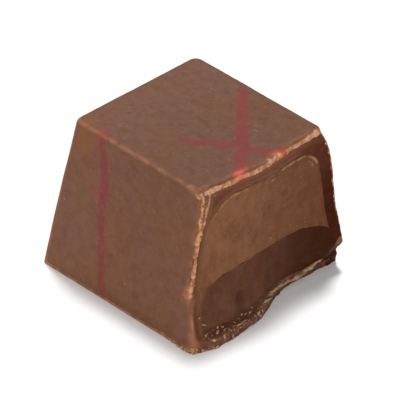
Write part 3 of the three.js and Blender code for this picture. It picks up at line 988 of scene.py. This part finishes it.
def sliver(strand, order, seed, step, sides, knobbly):
    """Rings of points round one ragged strand, which tapers to both its tips."""
    y, z, radius, proud = np.array(strand, float).T
    run = np.concatenate([[0], np.cumsum(np.hypot(np.diff(y), np.diff(z)))])
    here = np.linspace(0, run[-1], max(6, int(run[-1] / step)))
    y, z, radius, proud = (np.interp(here, run, values) for values in (y, z, radius, proud))
    from_tip = np.minimum(here, run[-1] - here)
    middle = on_cut_face(y, z, proud)
    drift = np.column_stack([rough(middle + i * 9, 0.9, 3, seed + order) for i in range(3)])
    middle = middle + 0.06 * drift * smooth(0, 0.3, from_tip)[:, None]
    forward = np.gradient(middle, axis=0)
    forward /= np.linalg.norm(forward, axis=1)[:, None]
    outward = np.array([1.0, 0, 0]) - forward[:, :1] * forward
    outward /= np.linalg.norm(outward, axis=1)[:, None]
    sideways = np.cross(forward, outward)
    turn = np.linspace(0, 2 * math.pi, sides, endpoint=False)[None, :, None]
    spokes = np.cos(turn) * outward[:, None] + np.sin(turn) * sideways[:, None]
    tapered = radius * np.sqrt(smooth(-0.01, 0.25, from_tip))
    surface = middle[:, None] + spokes * tapered[:, None, None]
    swollen = 1 + knobbly * rough(surface.reshape(-1, 3), 0.32, 2, seed + 40).reshape(len(here), sides)
    return middle[:, None] + spokes * (tapered[:, None] * swollen)[..., None]


def shavings(name, strands, seed, step=0.05, sides=10, knobbly=0.8):
    """Ragged strands along the cut, as one mesh."""
    points, faces, tones = [], [], []
    first = 0
    for order, strand in enumerate(strands):
        surface = sliver(strand, order, seed, step, sides, knobbly)
        points.append(surface.reshape(-1, 3))
        tones.append(0.5 + 0.5 * rough(points[-1], 0.5, 2, seed + 60))
        index = first + np.arange(len(points[-1])).reshape(-1, sides)
        beside = np.roll(index, -1, axis=1)
        faces += np.stack([index[:-1], beside[:-1], beside[1:], index[1:]], -1).reshape(-1, 4).tolist()
        faces += [index[0, ::-1].tolist(), index[-1].tolist()]
        first += index.size
    points = np.concatenate(points)
    points[:, 2] = np.maximum(points[:, 2], 0)
    made = solid(name, points, faces)
    mark(made, tone=np.concatenate(tones))
    made.data.shade_smooth()
    return made


crest_strands = [  # y, z, radius and how proud of the cut
    [(0.1, 1.02, 0.04, 0.04), (0.8, 1.06, 0.15, 0.1), (1.9, 1.0, 0.16, 0.12), (2.8, 0.92, 0.12, 0.12),
     (3.7, 0.86, 0.04, 0.1)],
    [(3.0, 0.7, 0.05, 0.08), (3.9, 0.73, 0.18, 0.14), (5.0, 0.88, 0.2, 0.14), (5.9, 1.12, 0.18, 0.14),
     (6.6, 1.42, 0.1, 0.12), (7.0, 1.6, 0.04, 0.08)],
    [(-0.9, 0.96, 0.04, 0.04), (-0.4, 0.96, 0.11, 0.08), (0.1, 0.9, 0.14, 0.1), (0.62, 0.84, 0.05, 0.05)],
    [(-4.6, 0.85, 0.03, 0.02), (-4.3, 0.9, 0.08, 0.05), (-3.5, 0.93, 0.08, 0.05), (-3.2, 0.9, 0.03, 0.02)],
]
crest = shavings("base_slivers", crest_strands, 110)
loose = [  # y and z of the larger flakes
    (-7.3, 1.25), (-6.7, 1.2), (-6.5, 1.05), (-7.2, 0.75), (-2.9, 0.5), (-1.85, 0.7), (-1.1, 0.55),
    (-1.45, 0.3), (-5.7, 1.0), (-5.2, 0.75), (-4.2, 0.7), (-3.9, 0.5), (-6.0, 0.6), (-7.8, 2.7),
    (-7.5, 2.0), (-7.5, 1.15), (-6.9, 1.25), (-6.2, 1.2), (-5.8, 1.15), (-3.9, 1.1), (-3.4, 1.12),
    (-3.0, 1.1), (-2.6, 1.05), (-7.0, 0.5), (-6.5, 0.8), (-4.8, 0.95), (-2.3, 0.8),
]
tiny = 54  # how many smaller ones are strewn
flake_y = np.concatenate([[y for y, z in loose], dice.uniform(-8.0, -0.5, tiny)])
flake_z = np.concatenate([[z for y, z in loose], dice.uniform(0.35, 1.2, tiny)])
palest = np.repeat([1.0, 0.7], [len(loose), tiny])
ledge_turn = cut_at(flake_y + 0.1, flake_z) - cut_at(flake_y - 0.1, flake_z)
lift = 0.1 * dice.normal(size=len(flake_y))
along_ledge = np.column_stack([ledge_turn, np.full(len(flake_y), 0.2), lift])
flake_sizes = np.concatenate([dice.uniform(0.14, 0.27, len(loose)), dice.uniform(0.06, 0.14, tiny)])
flake_places = on_cut_face(flake_y, flake_z, base_relief(flake_y, flake_z) + 0.01)
flakes = heap("base_flakes", flake_places, flake_sizes, along_ledge, (1, 0.5, 0.3), 0.5, 8, palest)
for piece in (crest, flakes):
    fresh_break(piece, "flaked_chocolate", (116, 78, 58), (196, 156, 122), (120, 78, 54), 0.4)
    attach(piece, "root")

# ---------------------------------------------------------------- bits of nut
# Specks of hazelnut that the mill left in the gianduja, where the cut shows them. The largest come first,
# each in its own place, and the rest lie anywhere.
specks = [  # y and z
    (2.66, 8.77), (3.04, 6.16), (5.08, 6.39), (5.08, 5.95), (1.41, 5.86), (1.3, 6.0), (-1.98, 9.53),
    (-2.99, 9.44), (-1.62, 12.4), (-0.91, 12.45), (2.34, 11.19), (-4.6, 10.62),
]
strewn_specks = 70
speck_y = np.concatenate([[y for y, z in specks], dice.uniform(-6.2, 6.2, strewn_specks)])
speck_z = np.concatenate([[z for y, z in specks], dice.uniform(5.3, 12.3, strewn_specks)])
inside = from_wall(speck_y, speck_z) > 0.3
speck_y, speck_z = speck_y[inside], speck_z[inside]
usual_size = np.where(np.arange(len(speck_y)) < len(specks), 0.1, 0.045)
speck_sizes = usual_size * dice.uniform(0.7, 1.3, len(speck_y))
speck_places = on_cut_face(speck_y, speck_z, gianduja_relief(speck_y, speck_z))
nuts = heap("nut_specks", speck_places, speck_sizes, stretch=(1, 0.8, 0.6), seed=13)
tree, shader = finish(nuts, "hazelnut", 0.5)
nut_colour = over(tree, "tone", paint(136, 94, 66), paint(166, 126, 92))
feed(shader.inputs["Base Color"], nut_colour)
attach(nuts, "root")

# ---------------------------------------------------------------- floor and light
# A white table, a soft lamp above and behind, and a weaker one in front of the cut.
floor_reach = 3000
corners = [(-1, -1), (1, -1), (1, 1), (-1, 1)]
floor = solid("floor", [(floor_reach * x, floor_reach * y, 0) for x, y in corners], [(0, 1, 2, 3)])
tree, shader = finish(floor, "table", 0.9, specular=0.1)
shader.inputs["Base Color"].default_value = (0.9, 0.9, 0.9, 1)

world = bpy.data.worlds.new("studio")
bpy.context.scene.world = world
world.use_nodes = True
background = world.node_tree.nodes["Background"]
background.inputs["Color"].default_value = (1, 1, 1, 1)
background.inputs["Strength"].default_value = 0.31


def softbox(name, place, size, power):
    """A square lamp that faces the praline. Its place and size are in metres."""
    light = bpy.data.lights.new(name, "AREA")
    light.size = size
    light.energy = power
    lamp = bpy.data.objects.new(name, light)
    bpy.context.scene.collection.objects.link(lamp)
    lamp.location = place
    lamp.rotation_mode = "QUATERNION"
    lamp.rotation_quaternion = (-Vector(place)).to_track_quat("-Z", "Y")


softbox("key", (-0.102, 0.113, 0.525), 0.1, 2.6)
softbox("fill", (0.37, -0.37, 0.16), 0.4, 1.9)

bpy.context.scene.view_settings.view_transform = "Standard"
